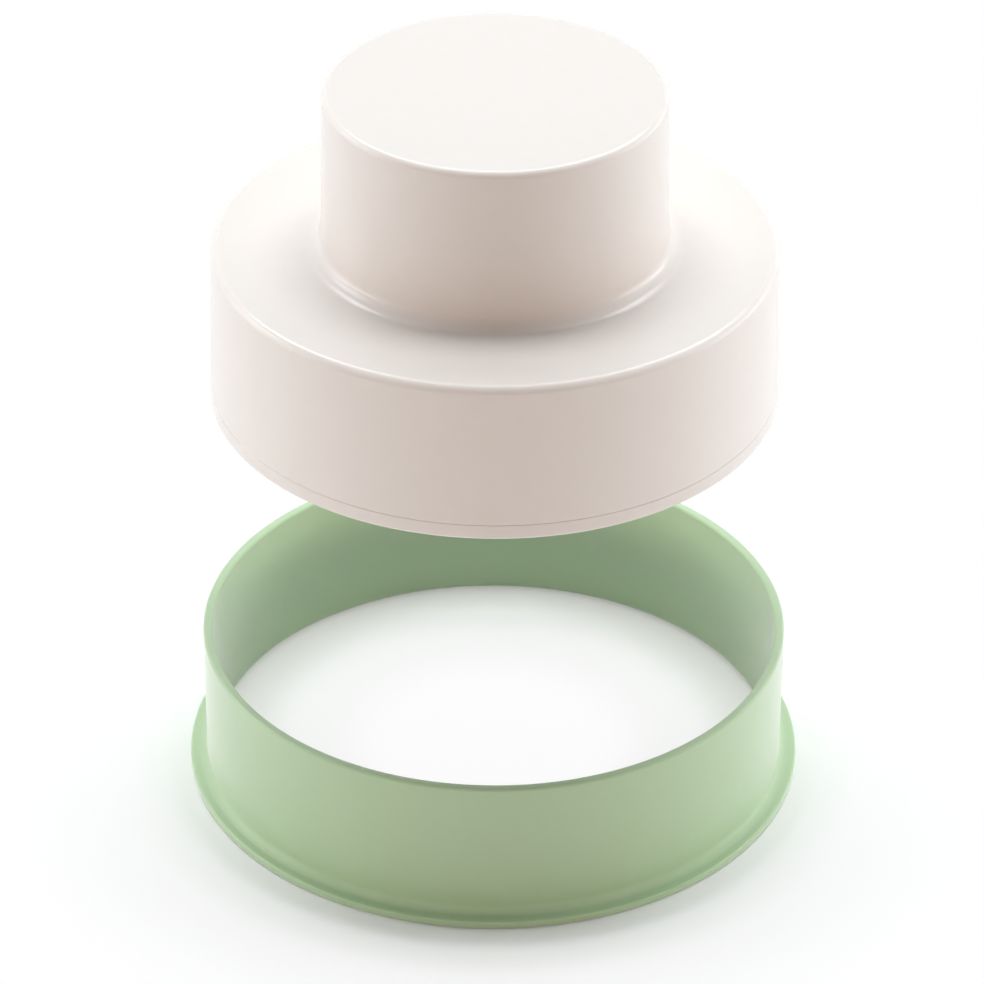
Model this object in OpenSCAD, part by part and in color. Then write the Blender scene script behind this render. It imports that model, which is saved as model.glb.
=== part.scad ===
// A burger press: a flanged forming ring, and a hollow press with a palm knob that slides down into it.
// All sizes are in millimetres. The table is at z = 0, and both pieces share the Z axis.

/* [Forming ring] */
// Inside diameter of the forming ring, which sets the width of the patty
ring_bore_d = 110; // [100:1:125]
// Thickness of the ring's wall
ring_wall = 1.9; // [1.4:0.1:3]
// Height of the ring, from the table to the rim
ring_h = 30; // [22:1:45]
// How far the foot flange stands out past the ring's wall
flange_out = 3.3; // [2.4:0.1:6]
// Thickness of the foot flange
flange_t = 1.4; // [1:0.1:4]
// Radius of the fillet between the ring's wall and the foot flange
flange_fillet = 1.8; // [0.6:0.1:4]
// Radius of the foot flange's upper edge
flange_round = 0.5; // [0.2:0.1:1.4]
// Radius of the rim's two edges
rim_round = 0.6; // [0.2:0.1:1]
// Radius of the foot flange's lower edge, at the table
foot_round = 0.3; // [0.1:0.1:0.6]
// Radius of the bore's lower edge, at the table
bore_round = 2; // [0.2:0.1:2.4]

/* [Press shell] */
// Gap all round between the press and the bore of the ring
slide_gap = 1.15; // [0.4:0.05:2]
// Height of the pressing face above the table, with the press lifted off as shown
lift = 83.5; // [32:0.5:120]
// Height of the drum, from the pressing face to the shoulder
drum_h = 31.4; // [22:0.2:45]
// Lean of the moulded side walls, in degrees
draft = 1.6; // [0.4:0.1:3]
// Diameter of the palm knob at its top
knob_d = 63.6; // [50:0.2:76]
// Height of the palm knob above the shoulder
knob_h = 31.6; // [20:0.2:45]
// Radius of the knob's top edge
knob_round = 1.3; // [0.4:0.1:4]
// Radius of the fillet at the foot of the knob
knob_fillet = 3; // [0.8:0.1:6]
// Radius of the drum's top edge
drum_round = 1.5; // [0.4:0.1:4]
// Thickness of the shell's wall
shell_wall = 2.4; // [1.8:0.1:4]
// Radius of the corners inside the shell
inner_round = 0.8; // [0.2:0.1:2]

/* [Press plate] */
// Thickness of the plate, from the pressing face to the seam
plate_t = 3; // [2:0.1:6]
// Radius of the pressing face's edge
plate_round = 0.6; // [0.2:0.1:1.2]
// Bevel on each side of the seam, which makes a fine groove
seam_bevel = 0.1; // [0.05:0.05:0.5]
// Depth of the step inside the shell's rim that the spigot fits in
seat_step = 0.4; // [0.1:0.1:0.8]
// Height of the spigot that stands up inside the shell's rim
spigot_h = 6; // [4.6:0.2:10]
// Thickness of the spigot
spigot_wall = 2; // [1.2:0.1:4]
// Gap between the spigot and its seat, and round the snap bead
spigot_gap = 0.1; // [0.05:0.05:0.3]
// Gap between the top of the spigot and the step inside the shell
spigot_relief = 0.4; // [0.2:0.1:1]
// Radius of the snap bead round the spigot
bead_r = 0.6; // [0.3:0.1:0.9]
// Height of the snap bead above the seam
bead_up = 3.2; // [1.6:0.2:4.4]
// Number of radial stiffening ribs on the plate
rib_count = 8; // [4:1:16]
// Thickness of the ribs and of the hub ring
rib_t = 1.6; // [1:0.1:3]
// Height of the ribs and of the hub ring above the plate
rib_h = 5; // [2:0.2:8]
// Outside diameter of the hub ring that the ribs run to
hub_d = 26; // [16:1:50]

/* [Hidden] */
$fn = 160;
// Straight steps in each rounded corner
corner_steps = 10;
// How deep a rib runs into what it is fused to
fuse = 0.5;
bore_r = ring_bore_d / 2;
wall_r = bore_r + ring_wall;
flange_r = wall_r + flange_out;
face_r = bore_r - slide_gap;
hub_r = hub_d / 2;
press_h = drum_h + knob_h;
seam_r = drum_r(plate_t);
seat_r = seam_r - shell_wall + seat_step;
spigot_r = seat_r - spigot_gap;
spigot_inner_r = spigot_r - spigot_wall;
spigot_top = plate_t + spigot_h;
seat_top = spigot_top + spigot_relief;
bead_at = [spigot_r, plate_t + bead_up];
cream = [0.93, 0.89, 0.86];
sage = [0.62, 0.71, 0.56];

// Outside radius of the drum at a height above the pressing face
function drum_r(z) = face_r - z * tan(draft);

// Outside radius of the knob at a height above the pressing face
function knob_r(z) = knob_d / 2 + (press_h - z) * tan(draft);

function unit(v) = v / norm(v);

// The corner at a place in a closed list, and its point without the rounding
function corner(corners, i) = corners[(i + len(corners)) % len(corners)];
function point(corners, i) = [corner(corners, i).x, corner(corners, i).y];

// Unit vector from one corner to another, and half of the angle that a corner's two sides make
function heading(corners, i, j) = unit(point(corners, j) - point(corners, i));
function half_angle(corners, i) = acos(heading(corners, i, i - 1) * heading(corners, i, i + 1)) / 2;

// Length of each side that a corner's rounding takes up
function wanted_reach(corners, i) = corner(corners, i).z / tan(half_angle(corners, i));

// How much of that length is left where the roundings at the two ends of a side share it
function side_share(corners, i, j) =
    let (side = norm(point(corners, j) - point(corners, i)))
    side / max(side, wanted_reach(corners, i) + wanted_reach(corners, j));
function reach(corners, i) =
    wanted_reach(corners, i) * min(side_share(corners, i, i - 1), side_share(corners, i, i + 1));

// Points of the arc that rounds one corner, tangent to both of its sides
function corner_arc(corners, i) =
    let (back = heading(corners, i, i - 1))
    let (ahead = heading(corners, i, i + 1))
    let (half = half_angle(corners, i))
    let (length = reach(corners, i))
    let (centre = point(corners, i) + unit(back + ahead) * length / cos(half))
    let (spoke = point(corners, i) + back * length - centre)
    let (turn = sign(cross(ahead, back)) * (180 - 2 * half))
    [for (k = [0 : corner_steps])
        let (t = turn * k / corner_steps)
        centre + [spoke.x * cos(t) - spoke.y * sin(t), spoke.x * sin(t) + spoke.y * cos(t)]];

// Closed outline through corners given as [distance from the axis, height, rounding]
function rounded(corners) =
    [for (i = [0 : len(corners) - 1])
        each corners[i].z > 0 ? corner_arc(corners, i) : [point(corners, i)]];

module forming_ring() {
    color(sage)
        rotate_extrude()
            polygon(rounded([
                [bore_r, 0, bore_round],
                [flange_r, 0, foot_round],
                [flange_r, flange_t, flange_round],
                [wall_r, flange_t, flange_fillet],
                [wall_r, ring_h, rim_round],
                [bore_r, ring_h, rim_round],
            ]));
}

// Section of the shell: outside from the knob's top down to the seam, then inside back up to the top
module shell_section() {
    shoulder_under = drum_h - shell_wall;
    knob_under = press_h - shell_wall;
    difference() {
        polygon(rounded([
            [0, press_h, 0],
            [knob_r(press_h), press_h, knob_round],
            [knob_r(drum_h), drum_h, knob_fillet],
            [drum_r(drum_h), drum_h, drum_round],
            [drum_r(plate_t + seam_bevel), plate_t + seam_bevel, 0],
            [seam_r - seam_bevel, plate_t, 0],
            [seat_r, plate_t, 0],
            [seat_r, seat_top, 0],
            [drum_r(seat_top) - shell_wall, seat_top, 0],
            [drum_r(shoulder_under) - shell_wall, shoulder_under, inner_round],
            [knob_r(shoulder_under) - shell_wall, shoulder_under, knob_fillet + shell_wall],
            [knob_r(knob_under) - shell_wall, knob_under, inner_round],
            [0, knob_under, 0],
        ]));
        translate(bead_at)
            circle(bead_r + spigot_gap);
    }
}

module press_shell() {
    color(cream)
        translate([0, 0, lift])
            rotate_extrude()
                shell_section();
}

// Section of the plate: its disc, the spigot with its snap bead, and the hub ring
module plate_section() {
    hub_top = plate_t + rib_h;
    polygon(rounded([
        [0, 0, 0],
        [drum_r(0), 0, plate_round],
        [drum_r(plate_t - seam_bevel), plate_t - seam_bevel, 0],
        [seam_r - seam_bevel, plate_t, 0],
        [spigot_r, plate_t, 0],
        [spigot_r, spigot_top, 0],
        [spigot_inner_r, spigot_top, 0],
        [spigot_inner_r, plate_t, 0],
        [hub_r, plate_t, 0],
        [hub_r, hub_top, 0],
        [hub_r - rib_t, hub_top, 0],
        [hub_r - rib_t, plate_t, 0],
        [0, plate_t, 0],
    ]));
    translate(bead_at)
        circle(bead_r);
}

module plate_rib() {
    rib_start = hub_r - fuse;
    rib_end = spigot_inner_r + fuse;
    translate([rib_start, -rib_t / 2, plate_t - fuse])
        cube([rib_end - rib_start, rib_t, rib_h + fuse]);
}

module press_plate() {
    color(cream)
        translate([0, 0, lift]) {
            rotate_extrude()
                plate_section();
            for (i = [0 : rib_count - 1])
                rotate([0, 0, i * 360 / rib_count])
                    plate_rib();
        }
}

forming_ring();
press_shell();
press_plate();
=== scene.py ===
"""Looks of a burger press: a glossy cream press lifted over a satin sage green ring, in a white studio."""
import math

import bpy
from mathutils import Euler, Matrix, Vector


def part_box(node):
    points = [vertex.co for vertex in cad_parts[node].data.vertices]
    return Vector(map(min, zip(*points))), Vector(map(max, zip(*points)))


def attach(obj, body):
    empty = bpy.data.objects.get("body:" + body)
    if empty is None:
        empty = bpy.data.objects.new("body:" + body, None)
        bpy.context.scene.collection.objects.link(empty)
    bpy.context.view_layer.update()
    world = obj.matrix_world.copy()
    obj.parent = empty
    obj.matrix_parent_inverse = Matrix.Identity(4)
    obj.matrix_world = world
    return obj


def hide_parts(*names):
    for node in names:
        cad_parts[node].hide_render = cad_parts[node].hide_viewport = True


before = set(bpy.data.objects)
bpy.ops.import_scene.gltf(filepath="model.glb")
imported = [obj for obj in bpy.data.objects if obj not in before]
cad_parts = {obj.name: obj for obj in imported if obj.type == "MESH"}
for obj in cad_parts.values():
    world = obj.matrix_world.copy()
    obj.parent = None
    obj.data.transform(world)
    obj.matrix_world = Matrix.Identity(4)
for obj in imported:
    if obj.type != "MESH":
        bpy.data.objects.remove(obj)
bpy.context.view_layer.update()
MM = 0.001

# The photograph's side, and the column of the object's axis in it
PHOTO_SIDE_PX = 984
AXIS_COLUMN_PX = 494.1

# The camera that the photograph's outlines fit, with its place in metres
FOCAL_PX = 4689
CAMERA_BACK = 0.7614
CAMERA_UP = 0.5463
CAMERA_PITCH = math.radians(32.6)
CAMERA_ROLL = math.radians(0.19)
SENSOR_MM = 36

# Forming ring, in millimetres
RING_WALL = 1.9
FLANGE_OUT = 3.3
FLANGE_T = 1.4
FLANGE_FILLET = 1.8
FLANGE_ROUND = 0.5
RIM_ROUND = 0.6
FOOT_ROUND = 0.3
BORE_ROUND = 2

# Press shell, in millimetres
DRAFT = math.radians(1.6)
DRUM_H = 31.4
KNOB_R = 31.8
KNOB_ROUND = 1.3
KNOB_FILLET = 3
DRUM_ROUND = 1.5
SHELL_WALL = 2.4
INNER_ROUND = 0.8
SEAM_BEVEL = 0.1
SEAT_STEP = 0.4
SEAT_H = 6.4

# Fineness of the turned meshes, and the distance in metres within which a point lies on the axis
TURN_STEPS = 256
ARC_STEPS = 10
ON_AXIS = 0.000001

# Colours of the plastics and of their clouds, in linear light
CREAM = (0.802, 0.742, 0.696)
CREAM_DEEP = (0.792, 0.73, 0.682)
SAGE = (0.42, 0.578, 0.344)
SAGE_DEEP = (0.41, 0.566, 0.334)

# Gloss of the cream plastic: its lowest and highest roughness, and its coat
CREAM_ROUGH = (0.29, 0.34)
CREAM_COAT = 0.7
CREAM_COAT_ROUGH = 0.2

# Gloss of the sage green plastic: its lowest and highest roughness, its shine, its coat and its sheen
SAGE_ROUGH = (0.44, 0.5)
SAGE_SPECULAR = 0.7
SAGE_COAT = 0.9
SAGE_COAT_ROUGH = 0.45
SAGE_SHEEN = 1
SAGE_SHEEN_ROUGH = 0.3

# Fineness of the clouds in colour and in gloss, and of the mould's grain, in features per metre
COLOUR_CLOUDS = 400
GLOSS_CLOUDS = 800
CREAM_GRAIN = 3000
SAGE_GRAIN = 3500

# Depth of the mould's grain, in metres
CREAM_GRAIN_DEPTH = 0.0000003
SAGE_GRAIN_DEPTH = 0.000003

# White of the studio, and the strength of its dome of light
WHITE = (1, 1, 1, 1)
DOME_STRENGTH = 0.005

# Floor: half of its side and its depth under the object in metres, its colour, and its own faint light
FLOOR_HALF = 3
FLOOR_DEPTH = 0.0001
FLOOR = (0.93, 0.92, 0.92)
FLOOR_GLOW = 0.07

# Share of plain white in the floor for seen rays, at distances from the axis in metres:
# most inside the ring, as painted light over the press's shadow there; none in the contact shadow round its
# foot; and all of it far away, as an even backdrop
PAINTED_LIGHT_INSIDE = 0.93
WHITE_AND_PAINTED_LIGHT_STOPS = (
    (0.02, PAINTED_LIGHT_INSIDE),
    (0.038, 0.72),
    (0.049, 0.3),
    (0.055, 0.27),
    (0.06, 0),
    (0.063, 0),
    (0.068, 0.4),
    (0.076, 0.66),
)
WHITE_BY = 0.12

# The point that the lights are aimed at, and their distance from it, in metres
LIGHT_TARGET = Vector((0, 0, 0.07))
LIGHT_DISTANCE = 1.2

# Where the light comes from: azimuth from the camera's side to the right, and elevation, in degrees
LEFT = (-94, 5.5)
LEFT_HIGH = (-105, 28)
RIGHT = (103, 5.5)
RIGHT_HIGH = (103, 32)
BACK = (180, 57)
TOP = (180, 80)
FRONT = (0, 4)

# Width and height of the lights, in metres
SIDE_STRIP = (1, 0.22)
HIGH_BOX = (0.5, 0.3)
BACK_STRIP = (1.5, 0.34)
TOP_STRIP = (0.9, 0.34)
FRONT_STRIP = (0.8, 0.12)

# Softboxes that are seen in the gloss: side, size, watts and colour
SOFTBOXES = {
    "softbox_left": (LEFT, SIDE_STRIP, 1.8, (0.98, 0.98, 1)),
    "softbox_left_high": (LEFT_HIGH, HIGH_BOX, 1.4, (1, 1, 1)),
    "softbox_right": (RIGHT, SIDE_STRIP, 2, (0.98, 0.98, 1)),
    "softbox_back": (BACK, BACK_STRIP, 7.5, (0.9, 0.96, 1)),
    "softbox_top": (TOP, TOP_STRIP, 1.3, (0.97, 0.98, 1)),
}

# Lights that leave no reflection, in the same order
PLAIN_LIGHTS = {
    "overhead": (TOP, TOP_STRIP, 9.2, (0.93, 0.98, 1)),
    "side_left": (LEFT, SIDE_STRIP, 5.8, (0.94, 0.97, 1)),
    "side_right": (RIGHT, SIDE_STRIP, 7.3, (0.94, 0.97, 1)),
    "high_right": (RIGHT_HIGH, HIGH_BOX, 1.6, (0.92, 0.97, 1)),
    "fill": (FRONT, FRONT_STRIP, 3.3, (1, 0.75, 0.6)),
}


def add_camera():
    """Camera at the photograph's viewing angle, moved sideways so that the axis lies on its column."""
    data = bpy.data.cameras.new("camera")
    data.sensor_width = SENSOR_MM
    data.lens = FOCAL_PX * SENSOR_MM / PHOTO_SIDE_PX
    camera = bpy.data.objects.new("camera", data)
    distance = math.hypot(CAMERA_BACK, CAMERA_UP)
    sideways = (AXIS_COLUMN_PX - PHOTO_SIDE_PX / 2) * distance / FOCAL_PX
    camera.location = (-sideways, -CAMERA_BACK, CAMERA_UP)
    aim = Euler((math.pi / 2 - CAMERA_PITCH, 0, 0)).to_matrix()
    camera.rotation_euler = (aim @ Matrix.Rotation(CAMERA_ROLL, 3, "Z")).to_euler()
    bpy.context.scene.collection.objects.link(camera)
    bpy.context.scene.camera = camera


def add_softbox(name, side, size, watts, colour):
    """Rectangular soft light that is aimed at the object from one side."""
    turn, rise = (math.radians(degrees) for degrees in side)
    away = Vector((math.sin(turn) * math.cos(rise), -math.cos(turn) * math.cos(rise), math.sin(rise)))
    data = bpy.data.lights.new(name, "AREA")
    data.shape = "RECTANGLE"
    data.size, data.size_y = size
    data.energy = watts
    data.color = colour
    light = bpy.data.objects.new(name, data)
    light.location = LIGHT_TARGET + away * LIGHT_DISTANCE
    light.rotation_euler = away.to_track_quat("Z", "Y").to_euler()
    bpy.context.scene.collection.objects.link(light)
    return light


def node_material(name):
    """New material with only a Principled shader and its output."""
    material = bpy.data.materials.new(name)
    material.use_nodes = True
    return material, material.node_tree.nodes, material.node_tree.links


def seen_directly(nodes, links):
    """Socket that is 1 for camera, glossy and transmission rays, and 0 for the rays that carry light."""
    path = nodes.new("ShaderNodeLightPath")
    either = nodes.new("ShaderNodeMath")
    either.operation = "MAXIMUM"
    links.new(path.outputs["Is Camera Ray"], either.inputs[0])
    links.new(path.outputs["Is Glossy Ray"], either.inputs[1])
    any_of = nodes.new("ShaderNodeMath")
    any_of.operation = "MAXIMUM"
    links.new(either.outputs[0], any_of.inputs[0])
    links.new(path.outputs["Is Transmission Ray"], any_of.inputs[1])
    return any_of.outputs[0]


def add_world():
    """White backdrop for seen rays, and a faint dome of light."""
    world = bpy.data.worlds.new("studio")
    world.use_nodes = True
    bpy.context.scene.world = world
    nodes, links = world.node_tree.nodes, world.node_tree.links
    nodes.clear()
    dome = nodes.new("ShaderNodeBackground")
    dome.inputs["Color"].default_value = WHITE
    dome.inputs["Strength"].default_value = DOME_STRENGTH
    backdrop = nodes.new("ShaderNodeBackground")
    backdrop.inputs["Color"].default_value = WHITE
    mix = nodes.new("ShaderNodeMixShader")
    output = nodes.new("ShaderNodeOutputWorld")
    links.new(seen_directly(nodes, links), mix.inputs["Fac"])
    links.new(dome.outputs[0], mix.inputs[1])
    links.new(backdrop.outputs[0], mix.inputs[2])
    links.new(mix.outputs[0], output.inputs["Surface"])


def white_and_painted_light_share(nodes, links):
    """Socket with the share of plain white in the floor, by distance from the axis and kind of ray; inside
    the ring this white is painted light over the press's shadow.
    """
    place = nodes.new("ShaderNodeTexCoord").outputs["Object"]
    away = nodes.new("ShaderNodeVectorMath")
    away.operation = "LENGTH"
    links.new(place, away.inputs[0])
    part_way = nodes.new("ShaderNodeMapRange")
    part_way.inputs["From Max"].default_value = WHITE_BY
    links.new(away.outputs["Value"], part_way.inputs["Value"])
    whiter = nodes.new("ShaderNodeValToRGB")
    whiter.color_ramp.interpolation = "EASE"
    stops = whiter.color_ramp.elements
    # Near the axis the ramp starts with painted light that whitens the press's shadow inside the ring
    stops[0].color = (PAINTED_LIGHT_INSIDE, PAINTED_LIGHT_INSIDE, PAINTED_LIGHT_INSIDE, 1)
    for distance, white in WHITE_AND_PAINTED_LIGHT_STOPS:
        stops.new(distance / WHITE_BY).color = (white, white, white, 1)
    links.new(part_way.outputs["Result"], whiter.inputs["Fac"])
    share = nodes.new("ShaderNodeMath")
    share.operation = "MULTIPLY"
    links.new(whiter.outputs["Color"], share.inputs[0])
    links.new(seen_directly(nodes, links), share.inputs[1])
    return share.outputs[0]


def floor_white_with_painted_light():
    """Matt white with a faint light of its own, which blends to plain white for seen rays, with painted
    light inside the ring over the press's shadow.
    """
    material, nodes, links = node_material("floor_white_with_painted_light")
    nodes.clear()
    paper = nodes.new("ShaderNodeBsdfDiffuse")
    paper.inputs["Color"].default_value = (*FLOOR, 1)
    glow = nodes.new("ShaderNodeEmission")
    glow.inputs["Strength"].default_value = FLOOR_GLOW
    lit = nodes.new("ShaderNodeAddShader")
    links.new(paper.outputs[0], lit.inputs[0])
    links.new(glow.outputs[0], lit.inputs[1])
    plain = nodes.new("ShaderNodeEmission")
    mix = nodes.new("ShaderNodeMixShader")
    output = nodes.new("ShaderNodeOutputMaterial")
    links.new(white_and_painted_light_share(nodes, links), mix.inputs["Fac"])
    links.new(lit.outputs[0], mix.inputs[1])
    links.new(plain.outputs[0], mix.inputs[2])
    links.new(mix.outputs[0], output.inputs["Surface"])
    return material


def add_floor():
    """Plain white floor that keeps the soft shadow round the object's foot; inside the ring the press's
    shadow is painted over with light.
    """
    half = FLOOR_HALF
    mesh = bpy.data.meshes.new("floor")
    corners = [(-half, -half, 0), (half, -half, 0), (half, half, 0), (-half, half, 0)]
    mesh.from_pydata(corners, [], [(0, 1, 2, 3)])
    mesh.materials.append(floor_white_with_painted_light())
    floor = bpy.data.objects.new("floor", mesh)
    floor.location.z = -FLOOR_DEPTH
    bpy.context.scene.collection.objects.link(floor)


def noise(nodes, links, place, scale):
    """Smooth noise over the object's own metres, with a scale in features per metre."""
    texture = nodes.new("ShaderNodeTexNoise")
    texture.inputs["Scale"].default_value = scale
    texture.inputs["Detail"].default_value = 0
    links.new(place, texture.inputs["Vector"])
    return texture.outputs["Fac"]


def spread(nodes, links, fraction, low, high):
    """Carries a fraction over to the range from low to high."""
    carry = nodes.new("ShaderNodeMapRange")
    carry.inputs["To Min"].default_value = low
    carry.inputs["To Max"].default_value = high
    links.new(fraction, carry.inputs["Value"])
    return carry.outputs["Result"]


def moulded_plastic(name, colour, deep_colour, rough, grain, grain_depth):
    """Moulded plastic: faint clouds of colour, a gloss that varies a little, and the mould's fine grain."""
    material, nodes, links = node_material(name)
    shader = nodes["Principled BSDF"]
    place = nodes.new("ShaderNodeTexCoord").outputs["Object"]
    tone = nodes.new("ShaderNodeMix")
    tone.data_type = "RGBA"
    tone.inputs["A"].default_value = (*colour, 1)
    tone.inputs["B"].default_value = (*deep_colour, 1)
    links.new(noise(nodes, links, place, COLOUR_CLOUDS), tone.inputs["Factor"])
    links.new(tone.outputs["Result"], shader.inputs["Base Color"])
    smear = noise(nodes, links, place, GLOSS_CLOUDS)
    links.new(spread(nodes, links, smear, *rough), shader.inputs["Roughness"])
    bump = nodes.new("ShaderNodeBump")
    bump.inputs["Strength"].default_value = 1
    bump.inputs["Distance"].default_value = grain_depth
    links.new(noise(nodes, links, place, grain), bump.inputs["Height"])
    links.new(bump.outputs["Normal"], shader.inputs["Normal"])
    return material, shader


def cream_plastic():
    """Glossy moulded plastic in warm off-white."""
    material, shader = moulded_plastic(
        "cream_gloss", CREAM, CREAM_DEEP, CREAM_ROUGH, CREAM_GRAIN, CREAM_GRAIN_DEPTH)
    shader.inputs["Coat Weight"].default_value = CREAM_COAT
    shader.inputs["Coat Roughness"].default_value = CREAM_COAT_ROUGH
    return material


def sage_plastic():
    """Satin moulded plastic in sage green."""
    material, shader = moulded_plastic(
        "sage_satin", SAGE, SAGE_DEEP, SAGE_ROUGH, SAGE_GRAIN, SAGE_GRAIN_DEPTH)
    shader.inputs["Specular IOR Level"].default_value = SAGE_SPECULAR
    shader.inputs["Coat Weight"].default_value = SAGE_COAT
    shader.inputs["Coat Roughness"].default_value = SAGE_COAT_ROUGH
    shader.inputs["Sheen Weight"].default_value = SAGE_SHEEN
    shader.inputs["Sheen Roughness"].default_value = SAGE_SHEEN_ROUGH
    return material


def corner_arc(before, here, after, rounding):
    """Points of the arc that rounds one corner of an outline, tangent to both of its sides."""
    back = (before - here).normalized()
    ahead = (after - here).normalized()
    half = back.angle(ahead) / 2
    centre = here + (back + ahead).normalized() * rounding / math.sin(half)
    spoke = here + back * rounding / math.tan(half) - centre
    turn = math.copysign(math.pi - 2 * half, ahead.x * back.y - ahead.y * back.x)
    return [centre + Matrix.Rotation(turn * step / ARC_STEPS, 2) @ spoke for step in range(ARC_STEPS + 1)]


def rounded(corners):
    """Closed outline through corners given as (distance from the axis, height, rounding) in millimetres."""
    places = [Vector(corner[:2]) for corner in corners]
    outline = []
    for i, here in enumerate(places):
        rounding = corners[i][2]
        if rounding:
            outline += corner_arc(places[i - 1], here, places[(i + 1) % len(places)], rounding)
        else:
            outline.append(here)
    return outline


def turned(name, outline):
    """Smooth mesh of a closed outline that runs anticlockwise, turned once round the Z axis."""
    vertices, rings = [], []
    for point in outline:
        radius, height = point * MM
        turns = 1 if radius < ON_AXIS else TURN_STEPS
        rings.append([len(vertices) + i for i in range(turns)])
        for i in range(turns):
            angle = 2 * math.pi * i / TURN_STEPS
            vertices.append((radius * math.cos(angle), radius * math.sin(angle), height))
    faces = []
    for low, high in zip(rings, rings[1:] + rings[:1]):
        for i in range(TURN_STEPS):
            j = i + 1
            face = [low[i % len(low)], low[j % len(low)], high[j % len(high)], high[i % len(high)]]
            face = list(dict.fromkeys(face))
            if len(face) > 2:
                faces.append(face)
    mesh = bpy.data.meshes.new(name)
    mesh.from_pydata(vertices, [], faces)
    mesh.shade_smooth()
    piece = bpy.data.objects.new(name, mesh)
    bpy.context.scene.collection.objects.link(piece)
    piece.modifiers.new("flats_keep_their_normals", "WEIGHTED_NORMAL")
    return piece


def stand_in(piece, node, body, material):
    """Puts a finished piece in the place of a node, on its body."""
    piece.data.materials.append(material)
    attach(piece, body)
    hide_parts(node)


def forming_ring(material):
    """Ring with a rounded rim, a foot flange with its fillet, and a bore that is rounded at the table."""
    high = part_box("forming_ring")[1] / MM
    wall_r = high.x - FLANGE_OUT
    bore_r = wall_r - RING_WALL
    outline = rounded([
        (bore_r, 0, BORE_ROUND),
        (high.x, 0, FOOT_ROUND),
        (high.x, FLANGE_T, FLANGE_ROUND),
        (wall_r, FLANGE_T, FLANGE_FILLET),
        (wall_r, high.z, RIM_ROUND),
        (bore_r, high.z, RIM_ROUND),
    ])
    stand_in(turned("ring_turned", outline), "forming_ring", "ring", material)


def press_shell(material):
    """Hollow shell of the drum and the palm knob: its outline runs down inside and back up outside."""
    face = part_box("press_plate")[0].z / MM
    low, high = (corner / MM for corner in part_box("press_shell"))
    shoulder = face + DRUM_H
    shoulder_under = shoulder - SHELL_WALL
    knob_under = high.z - SHELL_WALL
    seam_r = high.x + SEAM_BEVEL * math.tan(DRAFT)
    seat_r = seam_r - SHELL_WALL + SEAT_STEP
    seat_top = low.z + SEAT_H

    def drum_r(z):
        return seam_r - (z - low.z) * math.tan(DRAFT)

    def knob_r(z):
        return KNOB_R + (high.z - z) * math.tan(DRAFT)

    outline = rounded([
        (0, knob_under, 0),
        (knob_r(knob_under) - SHELL_WALL, knob_under, INNER_ROUND),
        (knob_r(shoulder_under) - SHELL_WALL, shoulder_under, KNOB_FILLET + SHELL_WALL),
        (drum_r(shoulder_under) - SHELL_WALL, shoulder_under, INNER_ROUND),
        (drum_r(seat_top) - SHELL_WALL, seat_top, 0),
        (seat_r, seat_top, 0),
        (seat_r, low.z, 0),
        (seam_r - SEAM_BEVEL, low.z, 0),
        (drum_r(low.z + SEAM_BEVEL), low.z + SEAM_BEVEL, 0),
        (drum_r(shoulder), shoulder, DRUM_ROUND),
        (knob_r(shoulder), shoulder, KNOB_FILLET),
        (knob_r(high.z), high.z, KNOB_ROUND),
        (0, high.z, 0),
    ])
    stand_in(turned("shell_turned", outline), "press_shell", "press", material)


def dress(node, material):
    """Gives a node of the frame its finish."""
    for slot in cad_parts[node].material_slots:
        slot.material = material


bpy.context.scene.view_settings.view_transform = "Standard"
add_camera()
add_world()
add_floor()
for name, softbox in SOFTBOXES.items():
    add_softbox(name, *softbox)
for name, softbox in PLAIN_LIGHTS.items():
    add_softbox(name, *softbox).visible_glossy = False
cream = cream_plastic()
sage = sage_plastic()
forming_ring(sage)
press_shell(cream)
dress("press_plate", cream)
